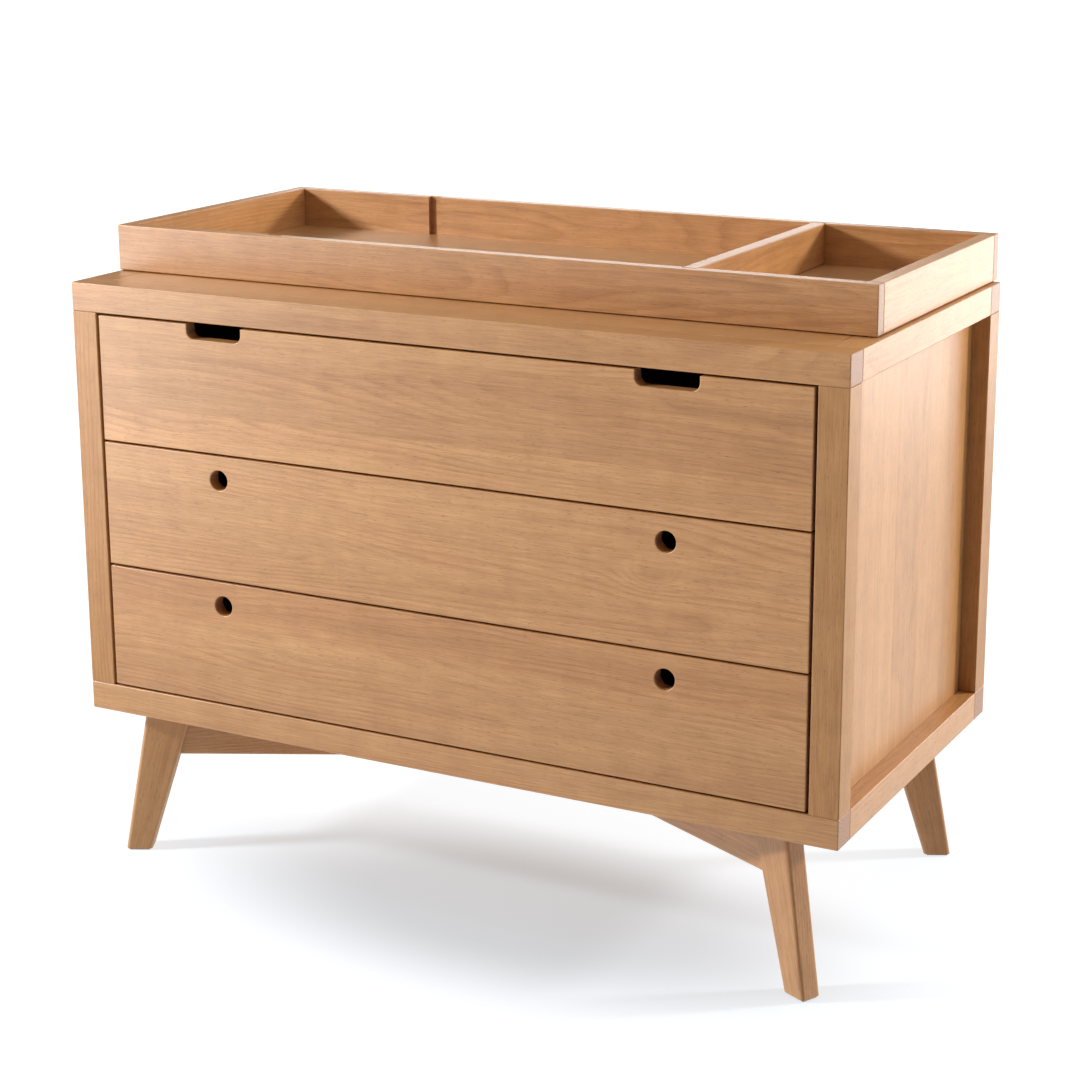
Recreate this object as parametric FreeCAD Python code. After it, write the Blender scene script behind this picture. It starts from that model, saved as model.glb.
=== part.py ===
"""Changing table: a three-drawer cabinet on a crossed base, with a lift-off changing tray.

Millimetres, +Z up. The origin is on the floor under the middle of the overall box. The
drawers face -Y, and +X is to the right of a person who stands in front of them.
"""
import FreeCAD, Part
import math
import os

V = FreeCAD.Vector
X, Y, Z = V(1, 0, 0), V(0, 1, 0), V(0, 0, 1)
SIDES = (("left", -1), ("right", 1))

# Driving dimensions of the cabinet
CABINET_WIDTH = 1140.0
CABINET_DEPTH = 565.0
CABINET_HEIGHT = 618.0
LEG_HEIGHT = 215.0
FRAME = 40.0                  # square section of every post and rail
EASE = 1.5                    # radius on the edges of all visible boards
TOP_THICKNESS = 18.0          # flush top and bottom panels
SIDE_THICKNESS = 15.0         # side panels, flush with the inside of the frame
BACK_THICKNESS = 6.0          # back panel, in a rebate
BACK_REBATE = 12.0
TONGUE = 6.0                  # thickness of the tongues on the panels
TONGUE_REACH = 8.0

# Driving dimensions of the base, measured from the plan centre along a diagonal
LEG_OUTER_TOP, LEG_OUTER_FOOT = 557.0, 596.0
LEG_INNER_TOP, LEG_INNER_FOOT = 491.0, 559.0
LEG_THICKNESS = 30.0
LEG_ROUND = 5.0
BRACE_HEIGHT = 68.0
BRACE_THICKNESS = 20.0
BRACE_ROUND = 3.0
TENON_THICKNESS, TENON_HEIGHT, TENON_END = 10.0, 38.0, 530.0
GLIDE_HEIGHT = 2.0
GLIDE_INSET = 4.0
BASE_SCREW_PLACES = (-300.0, -110.0, 110.0, 300.0)     # along each diagonal
BASE_SCREW_SEAT = 25.0        # from the seat of a screw's head up to the bottom panel
BASE_SCREW_GRIP = 13.0        # length of its shank inside the bottom panel
BASE_SCREW_BORE = 6.0

# Driving dimensions of the drawers
DRAWERS = 3
DRAWER_GAP = 3.0              # above, below and between the fronts
DRAWER_SIDE_GAP = 4.0
FRONT_THICKNESS = 20.0
GRIP_FROM_END = 191.5         # from the front's end to the middle of a finger hole or notch
NOTCH_WIDTH, NOTCH_DEPTH, NOTCH_ROUND = 87.0, 20.0, 11.0
HOLE_DIAMETER, HOLE_FROM_TOP = 28.0, 34.0
BOX_WALL = 12.0
BOX_LENGTH = 500.0
BOX_HEIGHT = 120.0
BOX_LIFT = 12.0               # from the front's lower edge up to the box sides
BOTTOM_THICKNESS, BOTTOM_LIFT, BOTTOM_GROOVE = 6.0, 8.0, 6.0

# Ball-bearing slides
SLIDE_WIDTH = 13.0
SLIDE_SHEET = 1.2
SLIDE_SETBACK = 2.0           # behind the drawer front
# Each channel's web and rim, from the cabinet side inwards, and half its height
SLIDE_OUTER, SLIDE_MIDDLE = (0.0, 9.0, 22.5), (3.0, 9.6, 18.5)
SLIDE_INNER = (SLIDE_WIDTH, 5.4, 12.5)

# Driving dimensions of the changing tray
TRAY_WIDTH = 1132.0           # its left end is flush with the cabinet
TRAY_HEIGHT = 65.0            # above the cabinet's top, with its pads
TRAY_SETBACK = 108.0          # from the cabinet's front
TRAY_OVERHANG = 8.0           # past the cabinet's back
TRAY_WALL = 20.0
TRAY_FLOOR = 6.0
PAD_HEIGHT, PAD_RADIUS = 1.2, 9.0
DIVIDER_THICKNESS = 20.0
DIVIDER_FROM_END = 255.0      # from the tray's end to the divider's middle
DADO_DEPTH = 8.0
DADO_PLAY = 0.25
DIVIDER_END_GAP = 2.5

# Fasteners
DOWEL_RADIUS, DOWEL_HALF = 4.0, 25.0
SMALL_DOWEL_RADIUS, SMALL_DOWEL_SHORT, SMALL_DOWEL_LONG = 3.0, 8.0, 20.0
DOWEL_OFFSET = 9.0            # of a pair of dowels, each side of the middle of the timber
DRAWER_DOWEL_HEIGHTS = (0.35, 0.8)    # shares of the drawer box's height
TRAY_DOWEL_HEIGHTS = (0.35, 0.7)      # shares of the tray's height
HOLE_CLEARANCE = 0.05

# Places worked out from the dimensions above
RIGHT = CABINET_WIDTH / 2
LEFT = -RIGHT
FRONT = -(CABINET_DEPTH + TRAY_OVERHANG) / 2
BACK = FRONT + CABINET_DEPTH
MIDDLE = (FRONT + BACK) / 2
BOTTOM = LEG_HEIGHT
TOP = LEG_HEIGHT + CABINET_HEIGHT
OPENING_BOTTOM, OPENING_TOP = BOTTOM + FRAME, TOP - FRAME
INNER = RIGHT - FRAME         # half the width between the posts
FRONT_HEIGHT = (OPENING_TOP - OPENING_BOTTOM - (DRAWERS + 1) * DRAWER_GAP) / DRAWERS
FRONT_HALF = INNER - DRAWER_SIDE_GAP
BOX_HALF = INNER - SLIDE_WIDTH
GRIP_X = FRONT_HALF - GRIP_FROM_END

pieces = {}
cabinet_members = []          # the outer channels of all the slides


def box(x0, x1, y0, y1, z0, z1):
    return Part.makeBox(x1 - x0, y1 - y0, z1 - z0, V(x0, y0, z0))


def board(x0, x1, y0, y1, z0, z1, radius=EASE):
    """A board with all its edges eased."""
    plain = box(x0, x1, y0, y1, z0, z1)
    return plain.makeFillet(radius, plain.Edges)


def mirrored(side, x0, x1, *rest):
    """The box from x0 to x1 on the right (side 1), or its mirror image on the left (side -1)."""
    low, high = sorted((side * x0, side * x1))
    return box(low, high, *rest)


def cut_from(names, tool):
    for name in names:
        pieces[name] = pieces[name].cut(tool)


def tongued_panel(corner, size, across, tongue_start):
    """A panel with a tongue on its four edges; across is the axis of its thickness.

    Gives the panel and the tongue's own slab, which is also the shape of the grooves.
    """
    low, high = list(corner), [c + s for c, s in zip(corner, size)]
    panel = box(low[0], high[0], low[1], high[1], low[2], high[2])
    for axis in range(3):
        if axis == across:
            low[axis] = tongue_start
            high[axis] = tongue_start + TONGUE
        else:
            low[axis] -= TONGUE_REACH
            high[axis] += TONGUE_REACH
    slab = box(low[0], high[0], low[1], high[1], low[2], high[2])
    return panel.fuse(slab).removeSplitter(), slab


def dowel(names, start, axis, radius, length):
    """Drills the named pieces from start along axis and gives the dowel that fills the hole."""
    cut_from(names, Part.makeCylinder(radius + HOLE_CLEARANCE, length, start, axis))
    return Part.makeCylinder(radius, length, start, axis)


def make_frame():
    """Posts stand between full-width front and back rails; side rails run between those."""
    ends = (("front", FRONT), ("back", BACK - FRAME))
    for level, z in (("bottom", BOTTOM), ("top", OPENING_TOP)):
        for end, y in ends:
            pieces[f"{end}_{level}_rail"] = board(LEFT, RIGHT, y, y + FRAME, z, z + FRAME)
        for side, x in (("left", LEFT), ("right", INNER)):
            pieces[f"{side}_{level}_rail"] = board(
                x, x + FRAME, FRONT + FRAME, BACK - FRAME, z, z + FRAME)
    for end, y in ends:
        for side, x in (("left", LEFT), ("right", INNER)):
            pieces[f"{end}_{side}_post"] = board(
                x, x + FRAME, y, y + FRAME, OPENING_BOTTOM, OPENING_TOP)


def make_panels():
    rails = [f"{place}_{{}}_rail" for place in ("front", "back", "left", "right")]
    depth = CABINET_DEPTH - 2 * FRAME
    tongue_lift = (TOP_THICKNESS - TONGUE) / 2
    for level, z in (("bottom", BOTTOM), ("top", TOP - TOP_THICKNESS)):
        panel, groove = tongued_panel(
            (-INNER, FRONT + FRAME, z), (2 * INNER, depth, TOP_THICKNESS), 2, z + tongue_lift)
        pieces[f"{level}_panel"] = panel
        cut_from([rail.format(level) for rail in rails], groove)
    for side, sign in SIDES:
        inside = INNER if sign > 0 else -INNER - SIDE_THICKNESS
        tongue_start = inside + (SIDE_THICKNESS - TONGUE) / 2
        panel, groove = tongued_panel(
            (inside, FRONT + FRAME, OPENING_BOTTOM),
            (SIDE_THICKNESS, depth, OPENING_TOP - OPENING_BOTTOM), 0, tongue_start)
        pieces[f"{side}_side_panel"] = panel
        around = [name for name in pieces if name.endswith(("_rail", "_post"))]
        cut_from(around, groove)
    half, rise = INNER + BACK_REBATE, BACK_REBATE
    sheet = box(-half, half, BACK - BACK_THICKNESS, BACK,
                OPENING_BOTTOM - rise, OPENING_TOP + rise)
    cut_from([name for name in pieces if name.startswith("back_")], sheet)
    pieces["back_panel"] = sheet


def make_frame_dowels():
    """A pair of dowels in each end of every post and every side rail."""
    dowels = []
    for side, sign in SIDES:
        x = sign * (RIGHT - FRAME / 2)
        for end, y in (("front", FRONT), ("back", BACK - FRAME)):
            for level, z in (("bottom", OPENING_BOTTOM), ("top", OPENING_TOP)):
                rail = f"{end}_{level}_rail"
                post_end = V(x, y + FRAME / 2, z - DOWEL_HALF)
                rail_z = z + FRAME / 2 if level == "top" else z - FRAME / 2
                rail_y = y + FRAME if end == "front" else y
                rail_end = V(x, rail_y - DOWEL_HALF, rail_z)
                for shift in (-DOWEL_OFFSET, DOWEL_OFFSET):
                    dowels.append(dowel((rail, f"{end}_{side}_post"),
                                        post_end + X * shift, Z, DOWEL_RADIUS, 2 * DOWEL_HALF))
                    dowels.append(dowel((rail, f"{side}_{level}_rail"),
                                        rail_end + Z * shift, Y, DOWEL_RADIUS, 2 * DOWEL_HALF))
    return dowels


def make_back_screws():
    """Pan-head screws round the edge of the back panel."""
    head_radius, head_height, shank_radius, shank_length = 3.5, 2.0, 1.5, 14.0
    edge = BACK_REBATE / 2
    across = [x * (INNER + edge) for x in (-1, -0.5, 0, 0.5, 1)]
    up = [OPENING_BOTTOM - edge, (OPENING_BOTTOM + OPENING_TOP) / 2, OPENING_TOP + edge]
    screws = []
    for x in across:
        for z in up:
            on_edge = z != up[1] or x in (across[0], across[-1])
            if on_edge:
                foot = V(x, BACK - shank_length, z)
                shank = dowel([n for n in pieces if n.startswith("back_")],
                              foot, Y, shank_radius, shank_length)
                head = Part.makeCylinder(head_radius, head_height, V(x, BACK, z), Y)
                screws.append(shank.fuse(head))
    pieces["back_panel_screws"] = Part.makeCompound(screws)


def leg_edge(top, foot, z):
    """How far a leg's edge is from the plan centre at height z."""
    return foot + (top - foot) * z / LEG_HEIGHT


def prism(outline, thickness):
    """An upright slab in the plane of a brace: outline holds (distance, height) points."""
    points = [V(u, -thickness / 2, z) for u, z in outline]
    face = Part.Face(Part.makePolygon(points + points[:1]))
    return face.extrude(Y * thickness)


def along_diagonal(shape, angle):
    placed = shape.copy()
    placed.rotate(V(0, 0, 0), Z, angle)
    placed.translate(Y * MIDDLE)
    return placed


def make_leg():
    heights = (LEG_HEIGHT, GLIDE_HEIGHT)
    outline = [(leg_edge(LEG_OUTER_TOP, LEG_OUTER_FOOT, z), z) for z in heights]
    outline += [(leg_edge(LEG_INNER_TOP, LEG_INNER_FOOT, z), z) for z in reversed(heights)]
    leg = prism(outline, LEG_THICKNESS)
    long_edges = [e for e in leg.Edges if e.BoundBox.ZLength > LEG_HEIGHT / 2]
    leg = leg.makeFillet(LEG_ROUND, long_edges)
    foot_edges = [e for e in leg.Edges if e.BoundBox.ZMax < GLIDE_HEIGHT + EASE]
    return leg.makeFillet(EASE, foot_edges)


def make_brace():
    """One diagonal board, cut to the legs' slope, with a tenon into the leg at each end."""
    low = LEG_HEIGHT - BRACE_HEIGHT
    top, foot = (leg_edge(LEG_INNER_TOP, LEG_INNER_FOOT, z) for z in (LEG_HEIGHT, low))
    brace = prism([(-top, LEG_HEIGHT), (top, LEG_HEIGHT), (foot, low), (-foot, low)],
                  BRACE_THICKNESS)
    lower_edges = [e for e in brace.Edges
                   if e.BoundBox.ZMax < low + 1 and e.BoundBox.XLength > top]
    brace = brace.makeFillet(BRACE_ROUND, lower_edges)
    tenon_low = low + (BRACE_HEIGHT - TENON_HEIGHT) / 2
    tenon = box(-TENON_END, TENON_END, -TENON_THICKNESS / 2, TENON_THICKNESS / 2,
                tenon_low, tenon_low + TENON_HEIGHT)
    return brace.fuse(tenon).removeSplitter()


def make_base(dowels):
    """Two braces half-lapped at the middle, a leg on each end, and a glide under each leg."""
    angle = math.degrees(math.atan2(CABINET_DEPTH, CABINET_WIDTH))
    low, half_lap = LEG_HEIGHT - BRACE_HEIGHT, LEG_HEIGHT - BRACE_HEIGHT / 2
    brace, leg = make_brace(), make_leg()
    glide_half = LEG_THICKNESS / 2 - GLIDE_INSET
    glide = box(LEG_INNER_FOOT + GLIDE_INSET, LEG_OUTER_FOOT - GLIDE_INSET,
                -glide_half, glide_half, 0, GLIDE_HEIGHT)
    glides = []
    reach = BRACE_THICKNESS * 2
    rising, falling = along_diagonal(brace, angle), along_diagonal(brace, -angle)
    core_above = box(-reach, reach, MIDDLE - reach, MIDDLE + reach, half_lap, LEG_HEIGHT)
    core_below = box(-reach, reach, MIDDLE - reach, MIDDLE + reach, low, half_lap)
    pieces["lower_brace"] = rising.cut(falling.common(core_above))
    pieces["upper_brace"] = falling.cut(rising.common(core_below))
    legs = (("back_right", angle, "lower_brace"), ("front_left", angle + 180, "lower_brace"),
            ("front_right", -angle, "upper_brace"), ("back_left", 180 - angle, "upper_brace"))
    middle_top = (LEG_OUTER_TOP + LEG_INNER_TOP) / 2
    for corner, turn, own_brace in legs:
        name = f"{corner}_leg"
        pieces[name] = along_diagonal(leg, turn).cut(pieces[own_brace])
        glides.append(along_diagonal(glide, turn))
        across = math.radians(turn)
        start = V(middle_top * math.cos(across), MIDDLE + middle_top * math.sin(across),
                  LEG_HEIGHT - DOWEL_HALF / 2)
        dowels.append(dowel((name, "bottom_panel"), start, Z, DOWEL_RADIUS, DOWEL_HALF))
    pieces["foot_glides"] = Part.makeCompound(glides)
    make_base_screws(angle)


def make_base_screws(angle):
    """Long screws, sunk in the braces' lower edges, that hold the base to the bottom panel."""
    head_radius, head_height, shank_radius = 4.5, 3.5, 2.25
    seat = LEG_HEIGHT - BASE_SCREW_SEAT
    screws = []
    for name, turn in (("lower_brace", angle), ("upper_brace", -angle)):
        across = math.radians(turn)
        for distance in BASE_SCREW_PLACES:
            place = V(distance * math.cos(across), MIDDLE + distance * math.sin(across), seat)
            bore = Part.makeCylinder(BASE_SCREW_BORE, BRACE_HEIGHT, place - Z * BRACE_HEIGHT, Z)
            cut_from([name], bore)
            shank = dowel((name, "bottom_panel"), place, Z, shank_radius,
                          BASE_SCREW_SEAT + BASE_SCREW_GRIP)
            head = Part.makeCylinder(head_radius, head_height, place - Z * head_height, Z)
            screws.append(shank.fuse(head))
    pieces["base_screws"] = Part.makeCompound(screws)


def drawer_front(number, z):
    """A flush front: the top one has two notches, the others two round finger holes."""
    front = box(-FRONT_HALF, FRONT_HALF, FRONT, FRONT + FRONT_THICKNESS, z, z + FRONT_HEIGHT)
    top = z + FRONT_HEIGHT
    for x in (-GRIP_X, GRIP_X):
        if number == 1:
            half = NOTCH_WIDTH / 2
            notch = box(x - half, x + half, FRONT - 1, FRONT + FRONT_THICKNESS + 1,
                        top - NOTCH_DEPTH, top + NOTCH_ROUND)
            corners = [e for e in notch.Edges
                       if e.BoundBox.YLength > FRONT_THICKNESS and e.BoundBox.ZMax < top]
            front = front.cut(notch.makeFillet(NOTCH_ROUND, corners))
        else:
            hole = Part.makeCylinder(HOLE_DIAMETER / 2, FRONT_THICKNESS + 2,
                                     V(x, FRONT - 1, top - HOLE_FROM_TOP), Y)
            front = front.cut(hole)
    # A round hole's wall has a joining line along it, which is no edge to ease.
    real = [e for e in front.Edges
            if number == 1 or e.BoundBox.YLength < 1 or abs(e.BoundBox.XMin) > FRONT_HALF - 1]
    return front.makeFillet(EASE, real)


def make_drawer(number):
    z = OPENING_TOP - number * (DRAWER_GAP + FRONT_HEIGHT)
    name = f"drawer_{number}"
    start, end = FRONT + FRONT_THICKNESS, FRONT + FRONT_THICKNESS + BOX_LENGTH
    low, high = z + BOX_LIFT, z + BOX_LIFT + BOX_HEIGHT
    inside = BOX_HALF - BOX_WALL
    pieces[f"{name}_front"] = drawer_front(number, z)
    for side, sign in SIDES:
        pieces[f"{name}_{side}_side"] = mirrored(sign, inside, BOX_HALF, start, end, low, high)
    pieces[f"{name}_back"] = box(-inside, inside, end - BOX_WALL, end, low, high)
    groove = BOTTOM_GROOVE
    floor = box(-inside - groove, inside + groove, start - groove, end - BOX_WALL + groove,
                low + BOTTOM_LIFT, low + BOTTOM_LIFT + BOTTOM_THICKNESS)
    walls = [f"{name}_{part}" for part in ("front", "left_side", "right_side", "back")]
    cut_from(walls, floor)
    pieces[f"{name}_bottom"] = floor
    pegs = []
    length = SMALL_DOWEL_SHORT + SMALL_DOWEL_LONG
    for share in DRAWER_DOWEL_HEIGHTS:
        height = low + BOX_HEIGHT * share
        for side, sign in SIDES:
            wall = f"{name}_{side}_side"
            centre = sign * (BOX_HALF - BOX_WALL / 2)
            pegs.append(dowel((f"{name}_front", wall), V(centre, start - SMALL_DOWEL_SHORT, height),
                              Y, SMALL_DOWEL_RADIUS, length))
            outer_end = V(sign * (inside + SMALL_DOWEL_SHORT), end - BOX_WALL / 2, height)
            pegs.append(dowel((wall, f"{name}_back"), outer_end, X * -sign,
                              SMALL_DOWEL_RADIUS, length))
    pieces[f"{name}_dowels"] = Part.makeCompound(pegs)
    make_slides(number, (low + high) / 2, start + SLIDE_SETBACK, end)


def channel(sign, web, rim, half_height, start, end, middle):
    """A folded steel channel: its web stands at one distance from the cabinet side, and its
    two flanges reach from there to rim. All distances run from the cabinet side inwards."""
    outline = box(min(web, rim), max(web, rim), start, end,
                  middle - half_height, middle + half_height)
    hollow_half = half_height - SLIDE_SHEET
    past_web = web + SLIDE_SHEET if rim > web else web - SLIDE_SHEET
    past_rim = rim + SLIDE_SHEET if rim > web else rim - SLIDE_SHEET
    hollow = box(min(past_web, past_rim), max(past_web, past_rim), start - 1, end + 1,
                 middle - hollow_half, middle + hollow_half)
    member = outline.cut(hollow)
    member.translate(X * -INNER)
    return member if sign < 0 else member.mirror(V(0, 0, 0), X)


def make_slides(number, middle, start, end):
    """Three nested channels on each side: on the cabinet, between, and on the drawer."""
    members = (("outer", SLIDE_OUTER), ("middle", SLIDE_MIDDLE), ("inner", SLIDE_INNER))
    for member, section in members:
        pair = [channel(sign, *section, start, end, middle) for _, sign in SIDES]
        if member == "outer":
            cabinet_members.extend(pair)
        else:
            pieces[f"slide_{number}_{member}"] = Part.makeCompound(pair)


def make_tray():
    """An open tray: boards dowelled at the corners, a floor in a rebate, a loose divider."""
    left, right = LEFT, LEFT + TRAY_WIDTH
    front, back = FRONT + TRAY_SETBACK, BACK + TRAY_OVERHANG
    low, high = TOP + PAD_HEIGHT, TOP + TRAY_HEIGHT
    floor_top = low + TRAY_FLOOR
    inner_front, inner_back = front + TRAY_WALL, back - TRAY_WALL
    pieces["tray_front_board"] = board(left, right, front, inner_front, low, high)
    pieces["tray_back_board"] = board(left, right, inner_back, back, low, high)
    pieces["tray_left_board"] = board(
        left, left + TRAY_WALL, inner_front, inner_back, low, high)
    pieces["tray_right_board"] = board(
        right - TRAY_WALL, right, inner_front, inner_back, low, high)
    walls = [f"tray_{side}_board" for side in ("front", "back", "left", "right")]
    rebate = TRAY_WALL / 2
    floor = box(left + rebate, right - rebate, front + rebate, back - rebate, low, floor_top)
    cut_from(walls, floor)
    pieces["tray_floor"] = floor

    half = DIVIDER_THICKNESS / 2
    slot_half = half + DADO_PLAY
    for x in (left + DIVIDER_FROM_END, right - DIVIDER_FROM_END):
        slot = box(x - slot_half, x + slot_half, inner_front - DADO_DEPTH,
                   inner_back + DADO_DEPTH, floor_top, high + 1)
        cut_from(walls[:2], slot)
    end_gap = DADO_DEPTH - DIVIDER_END_GAP
    x = right - DIVIDER_FROM_END
    pieces["tray_divider"] = board(x - half, x + half, inner_front - end_gap,
                                   inner_back + end_gap, floor_top + DADO_PLAY, high)

    pegs = []
    length = SMALL_DOWEL_SHORT + SMALL_DOWEL_LONG
    for side, x in (("left", left + TRAY_WALL / 2), ("right", right - TRAY_WALL / 2)):
        for share in TRAY_DOWEL_HEIGHTS:
            height = low + TRAY_HEIGHT * share
            for end, y in (("front", inner_front - SMALL_DOWEL_SHORT),
                           ("back", inner_back - SMALL_DOWEL_LONG)):
                pegs.append(dowel((f"tray_{end}_board", f"tray_{side}_board"), V(x, y, height),
                                  Y, SMALL_DOWEL_RADIUS, length))
    pieces["tray_dowels"] = Part.makeCompound(pegs)

    inset = 2 * PAD_RADIUS
    pads = []
    for x in (left + inset, (left + right) / 2, right - inset):
        for y in (front + inset, BACK - inset):
            pads.append(Part.makeCylinder(PAD_RADIUS, PAD_HEIGHT, V(x, y, TOP), Z))
    pieces["tray_pads"] = Part.makeCompound(pads)


make_frame()
make_panels()
frame_dowels = make_frame_dowels()
make_back_screws()
make_base(frame_dowels)
pieces["frame_dowels"] = Part.makeCompound(frame_dowels)
for drawer_number in range(1, DRAWERS + 1):
    make_drawer(drawer_number)
pieces["slide_outers"] = Part.makeCompound(cabinet_members)
make_tray()

os.makedirs("parts", exist_ok=True)
for piece_name, shape in pieces.items():
    shape.exportStep(f"parts/{piece_name}.step")
print(len(pieces), "pieces,", sum(len(shape.Solids) for shape in pieces.values()), "solids")
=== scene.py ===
"""The looks of the changing table: satin-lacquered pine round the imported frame, in a plain studio.

Metres, +Z up, in the frame's own axes: the drawers face -Y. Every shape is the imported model's;
this script gives each piece its own cut of timber, its metal, felt or plastic, and eases the
edges of the plain boards.
"""
import math
import random

import bpy
from mathutils import Matrix, Vector


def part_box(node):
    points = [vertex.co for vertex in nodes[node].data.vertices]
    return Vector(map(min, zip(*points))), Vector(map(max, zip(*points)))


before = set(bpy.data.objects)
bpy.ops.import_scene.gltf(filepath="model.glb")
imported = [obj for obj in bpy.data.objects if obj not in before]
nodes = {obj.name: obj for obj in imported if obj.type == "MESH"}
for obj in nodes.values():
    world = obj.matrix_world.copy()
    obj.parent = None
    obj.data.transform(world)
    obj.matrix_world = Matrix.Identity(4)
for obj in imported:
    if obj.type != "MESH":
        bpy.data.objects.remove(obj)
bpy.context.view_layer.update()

X, Y, Z = Vector((1, 0, 0)), Vector((0, 1, 0)), Vector((0, 0, 1))
SEED = 11

# Colours, linear
HONEY = (0.548, 0.270, 0.096)
HONEY_DARK = (0.380, 0.154, 0.043)
FLECK = (0.190, 0.062, 0.022)
END_GRAIN = (0.400, 0.200, 0.105)
PALE_PLY = (0.560, 0.290, 0.112)
PALE_PLY_DARK = (0.445, 0.206, 0.070)

# The lacquer over the timber, and the timber's own reflection
LACQUER_ROUGHNESS, LACQUER_IOR, WOOD_SPECULAR = 0.38, 1.6, 0.35


# ---------------------------------------------------------------- node tree helpers

def add(tree, kind, inputs=None, **settings):
    """A node of one kind; inputs maps a socket's name or number to a value or an output."""
    node = tree.nodes.new(kind)
    for key, value in settings.items():
        setattr(node, key, value)
    for key, value in (inputs or {}).items():
        if isinstance(value, bpy.types.NodeSocket):
            tree.links.new(value, node.inputs[key])
        else:
            node.inputs[key].default_value = value
    return node


def maths(tree, operation, a, b=0.0, c=0.0, clamp=False):
    node = add(tree, "ShaderNodeMath", {0: a, 1: b, 2: c}, operation=operation, use_clamp=clamp)
    return node.outputs[0]


def vector_maths(tree, operation, a, b=(0, 0, 0)):
    node = add(tree, "ShaderNodeVectorMath", {0: a, 1: b}, operation=operation)
    return node.outputs["Value" if operation in ("LENGTH", "DOT_PRODUCT") else "Vector"]


def noise(tree, vector, detail=2.0, rough=0.5, distortion=0.0):
    """Noise at a scale of one to the vector's unit, so that the vector sets its size."""
    return add(tree, "ShaderNodeTexNoise",
               {"Vector": vector, "Scale": 1.0, "Detail": detail, "Roughness": rough,
                "Distortion": distortion})


def ramp(tree, factor, stops, interpolation="EASE"):
    node = add(tree, "ShaderNodeValToRGB", {0: factor})
    node.color_ramp.interpolation = interpolation
    elements = node.color_ramp.elements
    while len(elements) < len(stops):
        elements.new(0.5)
    for element, (place, value) in zip(elements, stops):
        element.position = place
        element.color = (value, value, value, 1)
    return node.outputs[0]


def mix_colour(tree, factor, a, b, blend="MIX"):
    node = add(tree, "ShaderNodeMix", {0: factor, 6: a, 7: b}, data_type="RGBA",
               blend_type=blend)
    return node.outputs[2]


def rgba(colour):
    return (*colour, 1.0)


# ---------------------------------------------------------------- timber

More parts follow.
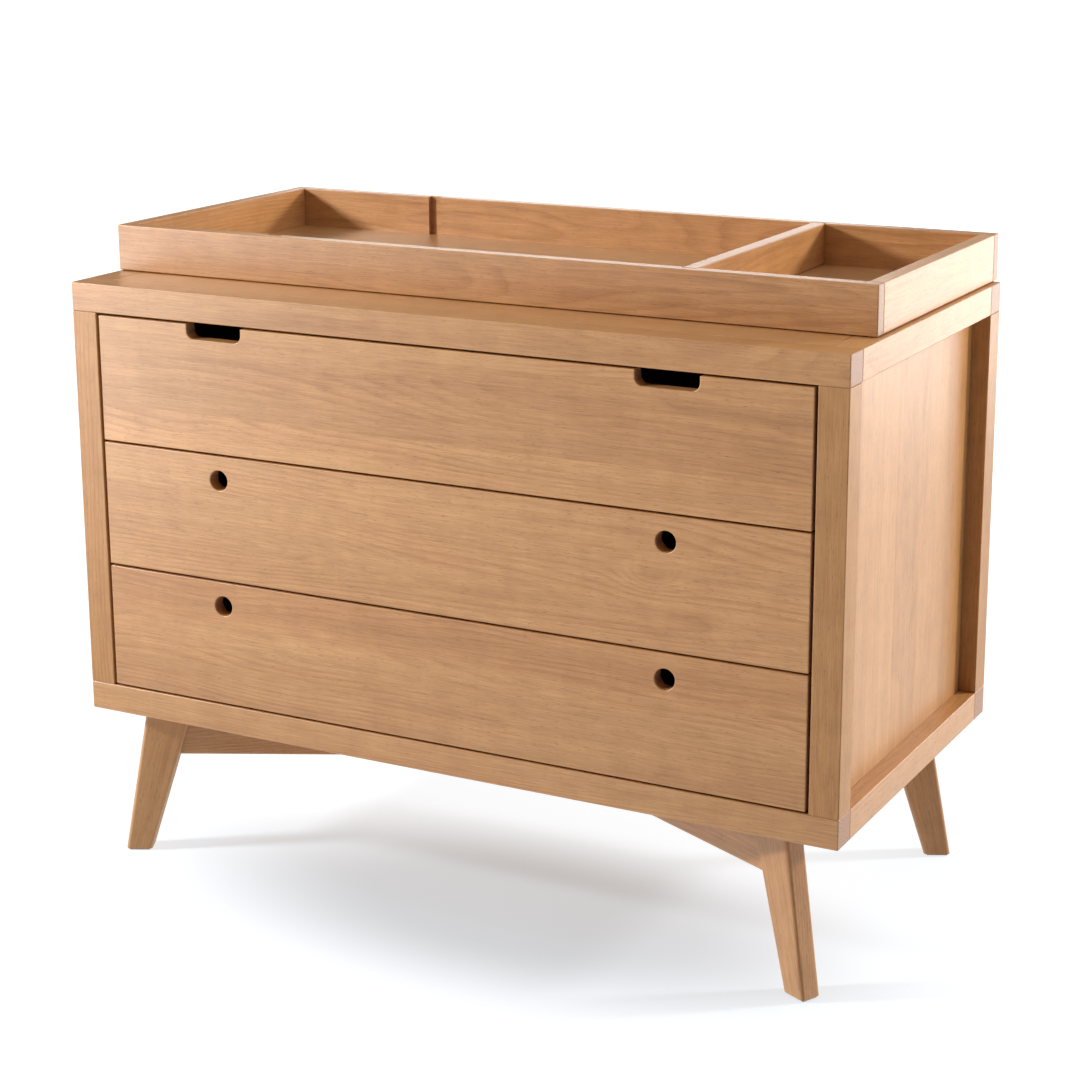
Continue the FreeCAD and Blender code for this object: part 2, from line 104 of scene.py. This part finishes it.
def timber_group():
    """One node group that turns board coordinates into timber.

    The vector runs along the grain in x, across the board in y and through it in z, from
    the board's middle, in metres. The rings are cylinders round a pith outside the board.
    """
    tree = bpy.data.node_groups.new("timber", "ShaderNodeTree")
    face = tree.interface
    numbers = ("Seed", "Pith Across", "Pith Below", "Taper", "Plank", "Plank Start", "Ring",
               "Knot Along", "Knot Across", "Knot", "Rosy Above", "Rosy", "End", "Contrast")
    for name in numbers:
        face.new_socket(name, in_out="INPUT", socket_type="NodeSocketFloat")
    for name, kind in (("Board", "NodeSocketVector"), ("Light", "NodeSocketColor"),
                       ("Dark", "NodeSocketColor")):
        face.new_socket(name, in_out="INPUT", socket_type=kind)
    for name, kind in (("Color", "NodeSocketColor"), ("Roughness", "NodeSocketFloat"),
                       ("Height", "NodeSocketFloat")):
        face.new_socket(name, in_out="OUTPUT", socket_type=kind)
    given = tree.nodes.new("NodeGroupInput").outputs
    parts = add(tree, "ShaderNodeSeparateXYZ", {0: given["Board"]}).outputs
    along, across, through = parts[0], parts[1], parts[2]

    def less(value, amount):
        return maths(tree, "SUBTRACT", value, amount)

    def scaled(value, by, plus=0.0):
        return maths(tree, "MULTIPLY_ADD", value, by, plus)

    # Glued-up planks: each has its own luck in pith, tone and noise.
    plank = maths(tree, "FLOOR", maths(tree, "DIVIDE", maths(
        tree, "ADD", across, given["Plank Start"]), given["Plank"]))
    luck_seed = scaled(plank, 3.71, given["Seed"])
    luck = add(tree, "ShaderNodeTexWhiteNoise", {"W": luck_seed}, noise_dimensions="1D")
    lucks = add(tree, "ShaderNodeSeparateColor", {0: luck.outputs["Color"]}).outputs
    shift = add(tree, "ShaderNodeCombineXYZ", {
        0: scaled(luck_seed, 7.3), 1: scaled(luck_seed, 3.1), 2: scaled(luck_seed, 1.7)})

    def field(length, width, **kind):
        """Noise whose features are about length long and width wide, in metres."""
        stretched = vector_maths(tree, "DIVIDE", given["Board"], (length, width, width))
        moved = vector_maths(tree, "ADD", stretched, shift.outputs[0])
        return noise(tree, moved, **kind).outputs

    # Growth rings, bent by the tree's wander and by a knot.
    wander = add(tree, "ShaderNodeSeparateColor", {
        0: field(0.55, 0.13, detail=1.5)["Color"]}).outputs
    offset = scaled(less(lucks[0], 0.5), 0.07, given["Pith Across"])
    ring_y = scaled(less(wander[0], 0.5), 0.045, less(across, offset))
    depth = maths(tree, "MULTIPLY", given["Pith Below"], scaled(lucks[1], 0.9, 0.55))
    ring_z = maths(tree, "ADD", less(through, depth), scaled(
        along, given["Taper"], scaled(less(wander[1], 0.5), 0.06)))
    radius = vector_maths(tree, "LENGTH", add(
        tree, "ShaderNodeCombineXYZ", {1: ring_y, 2: ring_z}).outputs[0])
    knot_far = vector_maths(tree, "LENGTH", add(tree, "ShaderNodeCombineXYZ", {
        0: scaled(less(along, given["Knot Along"]), 0.5),
        1: less(across, given["Knot Across"])}).outputs[0])
    knot_spread = 0.020
    knot = maths(tree, "MULTIPLY", given["Knot"], maths(tree, "EXPONENT", scaled(
        maths(tree, "POWER", maths(tree, "DIVIDE", knot_far, knot_spread), 2.0), -1.0)))
    radius = scaled(knot, 0.020, radius)
    phase = scaled(field(0.7, 0.035, detail=1.0)[0], 1.6,
                   maths(tree, "DIVIDE", radius, given["Ring"]))
    late = ramp(tree, maths(tree, "FRACT", phase),
                [(0.0, 0.34), (0.14, 0.0), (0.50, 0.12), (0.84, 0.78), (0.94, 1.0), (1.0, 0.34)])
    fade = ramp(tree, field(0.40, 0.05, detail=2.0)[0], [(0.34, 0.10), (0.68, 1.0)])
    rings = maths(tree, "MULTIPLY", maths(tree, "MULTIPLY", late, fade), given["Contrast"])

    # Slow drifts of tone, streaks, fibres and resin flecks.
    band = field(1.1, 0.022, detail=2.0, rough=0.6)[0]
    streak = field(0.35, 0.0065, detail=3.0, rough=0.65)[0]
    fibre = field(0.045, 0.0012, detail=2.0, rough=0.6)[0]
    tone = field(0.45, 0.10, detail=3.0, rough=0.55)[0]
    cloud = field(0.035, 0.050, detail=2.0)[0]
    fleck = ramp(tree, field(0.011, 0.0008, detail=1.0)[0], [(0.64, 0.0), (0.74, 1.0)])

    base = mix_colour(tree, scaled(rings, 0.66), given["Light"], given["Dark"])
    drift = scaled(less(tone, 0.5), 0.30, 1.0)
    for value, amount in ((cloud, 0.26), (lucks[2], 0.18), (band, 0.30), (streak, 0.22),
                          (fibre, 0.62)):
        drift = scaled(less(value, 0.5), amount, drift)
    warm = add(tree, "ShaderNodeCombineColor", {
        0: drift, 1: maths(tree, "POWER", drift, 1.25), 2: maths(tree, "POWER", drift, 1.7)})
    colour = mix_colour(tree, 1.0, base, warm.outputs[0], "MULTIPLY")
    rosy = ramp(tree, field(0.30, 0.06, detail=2.0)[0], [(0.38, 0.0), (0.66, 0.45)])
    upper = maths(tree, "GREATER_THAN", across, given["Rosy Above"])
    rosy = scaled(upper, given["Rosy"], rosy)
    colour = mix_colour(tree, rosy, colour, mix_colour(
        tree, 1.0, colour, (0.96, 0.89, 0.83, 1), "MULTIPLY"))
    colour = mix_colour(tree, scaled(fleck, 0.60), colour, rgba(FLECK))
    colour = mix_colour(tree, scaled(maths(tree, "POWER", knot, 3.0), 0.35),
                        colour, rgba(HONEY_DARK))

    # End grain is pinker and more open.
    pores = ramp(tree, field(0.0012, 0.0012, detail=1.0)[0], [(0.45, 1.0), (0.70, 0.72)])
    end_tone = maths(tree, "MULTIPLY", pores, scaled(late, -0.26, 1.08))
    end_grey = add(tree, "ShaderNodeCombineColor",
                   {0: end_tone, 1: end_tone, 2: end_tone}).outputs[0]
    end_colour = mix_colour(tree, 1.0, rgba(END_GRAIN), end_grey, "MULTIPLY")
    colour = mix_colour(tree, given["End"], colour, end_colour)

    rough = scaled(given["End"], 0.14, scaled(fleck, 0.10, scaled(streak, 0.14, 0.33)))
    height = scaled(late, 0.25, scaled(fleck, -0.55, scaled(fibre, 0.45)))
    out = tree.nodes.new("NodeGroupOutput")
    for name, value in (("Color", colour), ("Roughness", rough), ("Height", height)):
        tree.links.new(value, out.inputs[name])
    return tree


TIMBER = timber_group()


def board_axes(node, grain):
    """Unit vectors along the grain, across the widest face and through the board."""
    low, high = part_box(node)
    size = high - low
    along = max((X, Y, Z), key=lambda axis: abs(axis.dot(grain)))
    others = sorted((a for a in (X, Y, Z) if a is not along), key=lambda a: size.dot(a))
    if abs(grain.normalized().dot(along)) > 0.999:
        across = others[1]
        return grain, across, grain.cross(across)
    through = grain.cross(Z if abs(grain.z) < 0.9 else Vector((grain.x, grain.y, 0))).normalized()
    return grain, through.cross(grain), through


def timber(node, grain, light=HONEY, dark=HONEY_DARK, plank=0.0, plank_start=0.0, ring=0.0046,
           taper=0.0, pith=None, knot=None, rosy=None, contrast=1.0, painted_shade=1.0, gloss=0.65):
    """A cut of timber for one board. pith is (across, below) from the board's middle, knot
    is (along, across, strength), and rosy is (above which height, how strongly). The shade
    factor scales the colour down as painted shade, and gloss is how much lacquer lies on it."""
    luck = random.Random(f"{SEED} {node}")
    axes = board_axes(node, grain)
    low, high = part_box(node)
    middle = (low + high) / 2
    turn = Matrix(axes)
    place = turn @ -middle
    if pith is None:
        pith = (luck.uniform(-0.05, 0.05), luck.choice((-1, 1)) * luck.uniform(0.045, 0.11))
    if not taper:
        taper = luck.uniform(-0.06, 0.06)
    knot = knot or (0.0, 0.0, 0.0)
    rosy = rosy or (10.0, 0.0)
    material = bpy.data.materials.new(f"timber_{node}")
    material.use_nodes = True
    tree = material.node_tree
    shader = tree.nodes["Principled BSDF"]
    where = add(tree, "ShaderNodeTexCoord")
    board = add(tree, "ShaderNodeMapping", {
        "Vector": where.outputs["Object"], "Location": place, "Rotation": turn.to_euler()})
    facing = maths(tree, "ABSOLUTE", vector_maths(
        tree, "DOT_PRODUCT", where.outputs["Normal"], tuple(axes[0])))
    end = add(tree, "ShaderNodeMapRange", {"Value": facing, "From Min": 0.75, "From Max": 0.97},
              interpolation_type="SMOOTHSTEP").outputs[0]
    figure = add(tree, "ShaderNodeGroup", {}, node_tree=TIMBER)
    values = {"Board": board.outputs[0], "Seed": luck.uniform(1, 60), "Pith Across": pith[0],
              "Pith Below": pith[1], "Taper": taper, "Plank": plank or 10.0,
              "Plank Start": plank_start if plank else 5.0, "Ring": ring,
              "Knot Along": knot[0], "Knot Across": knot[1], "Knot": knot[2],
              "Rosy Above": rosy[0], "Rosy": rosy[1], "Contrast": contrast, "End": end,
              "Light": rgba([c * painted_shade for c in light]), "Dark": rgba([c * painted_shade for c in dark])}
    for name, value in values.items():
        socket = figure.inputs[name]
        if isinstance(value, bpy.types.NodeSocket):
            tree.links.new(value, socket)
        else:
            socket.default_value = value
    bump = add(tree, "ShaderNodeBump", {"Height": figure.outputs["Height"], "Strength": 0.22,
                                        "Distance": 0.0004})
    tree.links.new(figure.outputs["Color"], shader.inputs["Base Color"])
    tree.links.new(figure.outputs["Roughness"], shader.inputs["Roughness"])
    tree.links.new(bump.outputs[0], shader.inputs["Normal"])
    shader.inputs["Coat Weight"].default_value = gloss
    shader.inputs["Coat Roughness"].default_value = LACQUER_ROUGHNESS
    shader.inputs["Coat IOR"].default_value = LACQUER_IOR
    shader.inputs["Specular IOR Level"].default_value = WOOD_SPECULAR
    return material


# ---------------------------------------------------------------- other materials

def plain_material(name):
    material = bpy.data.materials.new(name)
    material.use_nodes = True
    tree = material.node_tree
    where = add(tree, "ShaderNodeTexCoord").outputs["Object"]
    return material, tree, tree.nodes["Principled BSDF"], where


def zinc_steel():
    """Rolled, zinc-plated sheet: fine rolling lines along Y over a faint mottle."""
    material, tree, shader, where = plain_material("zinc_steel")
    lines = noise(tree, vector_maths(tree, "MULTIPLY", where, (2500, 25, 2500)), detail=2.0)
    mottle = noise(tree, vector_maths(tree, "MULTIPLY", where, (160, 90, 160)), detail=3.0)
    tone = maths(tree, "MULTIPLY_ADD", mottle.outputs[0], 0.30, 0.42)
    colour = add(tree, "ShaderNodeCombineColor", {
        0: tone, 1: maths(tree, "MULTIPLY", tone, 1.01), 2: maths(tree, "MULTIPLY", tone, 1.04)})
    tree.links.new(colour.outputs[0], shader.inputs["Base Color"])
    rough = maths(tree, "MULTIPLY_ADD", lines.outputs[0], 0.22, 0.22)
    tree.links.new(rough, shader.inputs["Roughness"])
    bump = add(tree, "ShaderNodeBump", {"Height": lines.outputs[0], "Strength": 0.12,
                                        "Distance": 0.0001})
    tree.links.new(bump.outputs[0], shader.inputs["Normal"])
    shader.inputs["Metallic"].default_value = 1.0
    return material


def soft_dark(name, colour, scale, strength, rough, sheen=0.0):
    """Felt or matt plastic, from one noise at the size of its fibres or moulded texture."""
    material, tree, shader, where = plain_material(name)
    grain = noise(tree, vector_maths(tree, "MULTIPLY", where, (scale, scale, scale)), detail=4.0)
    tone = maths(tree, "MULTIPLY_ADD", grain.outputs[0], 0.7, 0.65)
    grey = add(tree, "ShaderNodeCombineColor", {0: tone, 1: tone, 2: tone}).outputs[0]
    tree.links.new(mix_colour(tree, 1.0, rgba(colour), grey, "MULTIPLY"),
                   shader.inputs["Base Color"])
    bump = add(tree, "ShaderNodeBump", {"Height": grain.outputs[0], "Strength": strength,
                                        "Distance": 0.0003})
    tree.links.new(bump.outputs[0], shader.inputs["Normal"])
    shader.inputs["Roughness"].default_value = rough
    shader.inputs["Sheen Weight"].default_value = sheen
    return material


# ---------------------------------------------------------------- the pieces

def dress(node, material):
    mesh = nodes[node].data
    mesh.materials.clear()
    mesh.materials.append(material)


def ease_edges(node, width=0.0006):
    """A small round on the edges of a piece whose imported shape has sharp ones."""
    weld = nodes[node].modifiers.new("weld", "WELD")
    weld.merge_threshold = 1e-5
    bevel = nodes[node].modifiers.new("ease", "BEVEL")
    bevel.width = width
    bevel.segments = 2
    bevel.limit_method = "ANGLE"
    bevel.angle_limit = math.radians(40)


LEG_SPLAY = 0.25  # outward for each metre down


def diagonal(sign):
    """The direction of a brace in plan: sign 1 runs to the back right, -1 to the front right."""
    reach_x = max(abs(v) for v in (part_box("front_top_rail")[0].x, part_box("front_top_rail")[1].x))
    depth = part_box("back_top_rail")[1].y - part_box("front_top_rail")[0].y
    return Vector((2 * reach_x, sign * depth, 0)).normalized()


def leg_grain(node):
    """From the leg's top to its foot, in the plane of its brace."""
    low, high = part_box(node)
    outward = Vector((math.copysign(1, low.x + high.x), 0, 0))
    outward.y = math.copysign(diagonal(1).y / diagonal(1).x, low.y + high.y)
    return (outward.normalized() * LEG_SPLAY - Z).normalized()


def dress_cabinet():
    for end in ("front", "back"):
        for level in ("top", "bottom"):
            name = f"{end}_{level}_rail"
            dress(name, timber(name, X, ring=0.0042, contrast=0.85))
        for side in ("left", "right"):
            name = f"{end}_{side}_post"
            # The posts' colour is darkened as painted shade, for the weaker sheen their upright
            # grain catches.
            dress(name, timber(name, Z, ring=0.0050, contrast=0.75, painted_shade=0.86, gloss=0.2))
    for side in ("left", "right"):
        for level in ("top", "bottom"):
            name = f"{side}_{level}_rail"
            dress(name, timber(name, Y, ring=0.0045, contrast=0.8))
        name = f"{side}_side_panel"
        dress(name, timber(name, Z, plank=0.095, plank_start=0.04, ring=0.0065, contrast=0.6,
                           taper=0.02, pith=(0.0, 0.12)))
    for name in ("top_panel", "bottom_panel"):
        dress(name, timber(name, X, plank=0.11, plank_start=0.03, ring=0.0050, contrast=0.8))
    dress("back_panel", timber("back_panel", X, light=PALE_PLY, dark=PALE_PLY_DARK, ring=0.011,
                               taper=0.03, contrast=0.9))
    for name in ("lower_brace", "upper_brace"):
        sign = 1 if name == "lower_brace" else -1
        dress(name, timber(name, diagonal(sign), ring=0.0045))
    for end in ("front", "back"):
        for side in ("left", "right"):
            name = f"{end}_{side}_leg"
            dress(name, timber(name, leg_grain(name), ring=0.0048, contrast=0.9))


def dress_drawers():
    figures = {
        1: dict(plank=0.105, plank_start=0.035, taper=0.050, pith=(0.01, 0.055), ring=0.0062,
                knot=(-0.33, -0.07, 0.5), contrast=0.85),
        2: dict(plank=0.12, plank_start=0.085, taper=-0.045, pith=(-0.02, 0.060), ring=0.0058,
                knot=(0.315, 0.008, 0.9), contrast=0.95),
        3: dict(plank=0.062, plank_start=0.035, taper=0.022, pith=(0.02, 0.075), ring=0.0052,
                rosy=(0.027, 0.75), contrast=0.90),
    }
    for number, figure in figures.items():
        drawer = f"drawer_{number}"
        dress(f"{drawer}_front", timber(f"{drawer}_front", X, **figure))
        for side in ("left", "right"):
            name = f"{drawer}_{side}_side"
            dress(name, timber(name, Y, light=PALE_PLY, dark=PALE_PLY_DARK, contrast=0.8))
        name = f"{drawer}_back"
        dress(name, timber(name, X, light=PALE_PLY, dark=PALE_PLY_DARK, contrast=0.8))
        name = f"{drawer}_bottom"
        dress(name, timber(name, X, light=PALE_PLY, dark=PALE_PLY_DARK, ring=0.010,
                           taper=0.02, contrast=0.8))


def dress_tray():
    for side in ("front", "back"):
        name = f"tray_{side}_board"
        dress(name, timber(name, X, ring=0.0048, contrast=0.9))
    for name in ("tray_left_board", "tray_right_board", "tray_divider"):
        dress(name, timber(name, Y, ring=0.0050, contrast=0.75))
    dress("tray_floor", timber("tray_floor", X, light=PALE_PLY, dark=PALE_PLY_DARK, ring=0.012,
                               taper=0.02, contrast=0.7, gloss=1.0))


def dress_fittings():
    steel = zinc_steel()
    for name in nodes:
        if name.startswith("slide_") or name.endswith("_screws"):
            dress(name, steel)
        elif name.endswith("_dowels"):
            dress(name, timber(name, Y, light=PALE_PLY, dark=PALE_PLY_DARK, ring=0.003))
    dress("foot_glides", soft_dark("glide_plastic", (0.035, 0.030, 0.027), 900, 0.25, 0.62))
    dress("tray_pads", soft_dark("pad_felt", (0.050, 0.036, 0.028), 1400, 0.6, 0.95, sheen=0.4))


# The ends of the names of the boards whose packed edges are sharp
PLAIN_BOARDS = ("_side", "_back", "_panel", "tray_floor")


# ---------------------------------------------------------------- studio

# Watts for the lamps, radiance for the sky and the floor
LEVELS = {
    "key_left": 91.0, "key_right": 64.0, "overhead": 18.0,
    "gloss_left": 15.0, "gloss_right": 22.0, "gloss_back": 11.0,
    "sky": 0.03, "sky_back_right": 1.15, "sky_left": 0.66, "sky_below": 1.00,
    "floor_far": 0.35, "floor_back": 0.2,
}
AIMS = {
    "sky_back_right": (0.75, 0.65, 0.0),
    "sky_left": (-0.95, -0.3, 0.0), "sky_below": (0.0, -0.3, -0.95),
    "floor_back": (0.35, 0.94, 0.0),
}
# The floor's own glow near the table, and the painted shadow: a soft dark pool in that glow
FLOOR_HALF, FLOOR_GLOW, PAINTED_SHADOW_DEPTH = 60.0, 0.77, 0.38
PAINTED_SHADOW_MIDDLE, PAINTED_SHADOW_REACH = (0.08, -0.20), (0.66, 0.32)


def glow(tree, direction, name):
    """The floor's or the sky's radiance along a direction: an even part and its lobes."""
    total = LEVELS[f"{name}_far" if name == "floor" else name]
    for lobe, aim in AIMS.items():
        if lobe.startswith(name):
            facing = vector_maths(tree, "DOT_PRODUCT", direction, Vector(aim).normalized())
            soft = add(tree, "ShaderNodeMapRange", {
                "Value": facing, "From Min": 0.1, "From Max": 1.0},
                interpolation_type="SMOOTHSTEP").outputs[0]
            total = maths(tree, "MULTIPLY_ADD", soft, LEVELS[lobe], total)
    return total


def floor():
    """A white floor that glows more with distance, and less in a painted shadow: a soft pool by the
    legs.
    """
    half = FLOOR_HALF
    mesh = bpy.data.meshes.new("floor")
    mesh.from_pydata([(-half, -half, 0), (half, -half, 0), (half, half, 0), (-half, half, 0)],
                     [], [(0, 1, 2, 3)])
    sheet = bpy.data.objects.new("floor", mesh)
    bpy.context.scene.collection.objects.link(sheet)
    material, tree, shader, where = plain_material("floor")

    def spread(value, low, high):
        return add(tree, "ShaderNodeMapRange", {"Value": value, "From Min": low,
                                                "From Max": high},
                   interpolation_type="SMOOTHSTEP").outputs[0]

    # Painted shadow: the floor's glow is lowered in a soft ellipse round the table's feet.
    from_painted_shadow = vector_maths(tree, "DIVIDE", vector_maths(
        tree, "SUBTRACT", where, (*PAINTED_SHADOW_MIDDLE, 0)), (*PAINTED_SHADOW_REACH, 1))
    painted_shadow = spread(vector_maths(tree, "LENGTH", from_painted_shadow), 1.0, 0.30)
    far = spread(vector_maths(tree, "LENGTH", where), 0.9, 3.0)
    near = maths(tree, "MULTIPLY_ADD", painted_shadow, -PAINTED_SHADOW_DEPTH, FLOOR_GLOW)
    outward = vector_maths(tree, "NORMALIZE", where)
    strength = maths(tree, "MULTIPLY_ADD", far, glow(tree, outward, "floor"), near)
    shader.inputs["Base Color"].default_value = (0.32, 0.35, 0.385, 1)
    shader.inputs["Roughness"].default_value = 0.6
    shader.inputs["Specular IOR Level"].default_value = 0.2
    shader.inputs["Emission Color"].default_value = (0.945, 0.975, 1.0, 1)
    tree.links.new(strength, shader.inputs["Emission Strength"])
    mesh.materials.append(material)
    # The sky's lower half lights the table from below in the floor's place.
    sheet.visible_diffuse = sheet.visible_glossy = False


def sky():
    world = bpy.data.worlds.new("studio")
    world.use_nodes = True
    tree = world.node_tree
    direction = add(tree, "ShaderNodeTexCoord").outputs["Generated"]
    back = tree.nodes["Background"]
    tree.links.new(glow(tree, direction, "sky"), back.inputs["Strength"])
    back.inputs["Color"].default_value = (1, 1, 1, 1)
    bpy.context.scene.world = world


def soft_box(name, place, aim, size, diffuse=True, glossy=True):
    light = bpy.data.lights.new(name, "AREA")
    light.shape = "RECTANGLE"
    light.size, light.size_y = size
    light.energy = LEVELS[name]
    lamp = bpy.data.objects.new(name, light)
    lamp.location = place
    lamp.rotation_mode = "QUATERNION"
    lamp.rotation_quaternion = (Vector(aim) - Vector(place)).to_track_quat("-Z", "Y")
    lamp.visible_camera = False
    lamp.visible_diffuse, lamp.visible_glossy = diffuse, glossy
    bpy.context.scene.collection.objects.link(lamp)


def studio():
    floor()
    sky()
    soft_box("key_left", (-2.43, -1.70, 1.80), (-0.2, -0.2, 0.6), (0.35, 0.35))
    soft_box("key_right", (2.62, 1.68, 1.57), (0.3, 0.1, 0.6), (0.30, 0.30), glossy=False)
    soft_box("overhead", (0.2, -0.4, 3.0), (0.0, -0.1, 0.0), (2.4, 2.4))
    # These only show in the lacquer: on the drawers' left ends, the side and the tray.
    for name, place, aim, size in (
            ("gloss_left", (-1.95, -1.75, 0.50), (-0.3, -0.2, 0.5), (0.5, 0.9)),
            ("gloss_right", (1.55, 2.90, 0.70), (0.4, 0.0, 0.5), (2.0, 1.3)),
            ("gloss_back", (-1.40, 2.90, 1.50), (0.0, 0.1, 0.9), (1.6, 0.6))):
        soft_box(name, place, aim, size, diffuse=False)
    bpy.context.scene.view_settings.view_transform = "Standard"


def camera():
    """Above eye level, to the right of the front, turned and tipped towards the table."""
    lens = bpy.data.cameras.new("camera")
    lens.lens, lens.sensor_width, lens.shift_y = 80.15, 36.0, -0.06
    eye = bpy.data.objects.new("camera", lens)
    eye.location = (1.542, -2.867, 1.383)
    azimuth, tilt, roll = (math.radians(v) for v in (28.17, 14.20, 0.30))
    eye.rotation_mode = "QUATERNION"
    eye.rotation_quaternion = (Matrix.Rotation(azimuth, 4, "Z")
                               @ Matrix.Rotation(math.pi / 2 - tilt, 4, "X")
                               @ Matrix.Rotation(-roll, 4, "Z")).to_quaternion()
    bpy.context.scene.collection.objects.link(eye)
    bpy.context.scene.camera = eye


camera()
dress_cabinet()
dress_drawers()
dress_tray()
dress_fittings()
for name in nodes:
    if name.endswith(PLAIN_BOARDS):
        ease_edges(name)
studio()
